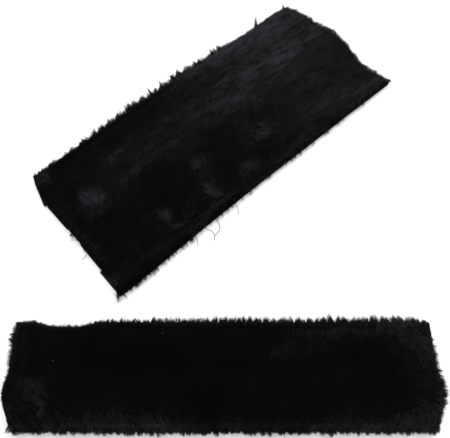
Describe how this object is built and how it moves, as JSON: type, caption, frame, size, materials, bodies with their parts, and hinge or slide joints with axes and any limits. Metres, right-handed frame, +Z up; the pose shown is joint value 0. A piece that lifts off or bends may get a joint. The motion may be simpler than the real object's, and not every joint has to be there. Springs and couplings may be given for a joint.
{
  "type": "furry windscreen",
  "caption": "Wrap-around long-pile fur wind covers for a long microphone, closed along one edge by hook and loop tape; one lies wrapped shut and one lies open.",
  "frame": {"origin": "on the surface the set lies on, at the middle of the box around both covers", "axes": "+Z up; +X along the closed cover, from its hemmed end to its raw end; +Y away from the viewer, from the closed cover towards the open one"},
  "size_m": [0.45, 0.5606, 0.0357],
  "materials": {
    "fur_pile": "long silky pile, near black with a faint cool sheen",
    "knit_backing": "matt black knit",
    "hook_tape": "black woven tape with nylon hooks",
    "loop_tape": "black brushed loop tape",
    "thread": "black sewing thread"
  },
  "bodies": {
    "closed_lower": {"closed_lower_pile": "fur_pile", "closed_lower_backing": "knit_backing", "closed_loop_tape": "loop_tape", "closed_loop_tape_seam": "thread", "closed_lower_hem": "knit_backing", "closed_lower_hem_seam": "thread"},
    "closed_upper": {"closed_upper_pile": "fur_pile", "closed_upper_backing": "knit_backing", "closed_hook_tape": "hook_tape", "closed_hook_tape_seam": "thread", "closed_upper_hem": "knit_backing", "closed_upper_hem_seam": "thread"},
    "open_near": {"open_near_pile": "fur_pile", "open_near_backing": "knit_backing", "open_hook_tape": "hook_tape", "open_hook_tape_seam": "thread", "open_near_hem": "knit_backing", "open_near_hem_seam": "thread"},
    "open_far": {"open_far_pile": "fur_pile", "open_far_backing": "knit_backing", "open_loop_tape": "loop_tape", "open_loop_tape_seam": "thread", "open_far_hem": "knit_backing", "open_far_hem_seam": "thread"}
  },
  "joints": [
    {"name": "closed_cover_fold", "type": "hinge", "parent": "closed_lower", "child": "closed_upper", "pos_m": [0.00936, -0.28042, 0.00765], "axis": [1, 0, 0], "range_deg": [0, 135]},
    {"name": "open_cover_lift", "type": "slide", "parent": "closed_lower", "child": "open_near", "axis": [0, 0, 1], "range_m": [0, 0.25]},
    {"name": "open_cover_fold", "type": "hinge", "parent": "open_near", "child": "open_far", "pos_m": [0.00136, 0.06792, -0.00015], "axis": [-0.7524, -0.6587, 0], "range_deg": [0, 180]}
  ]
}
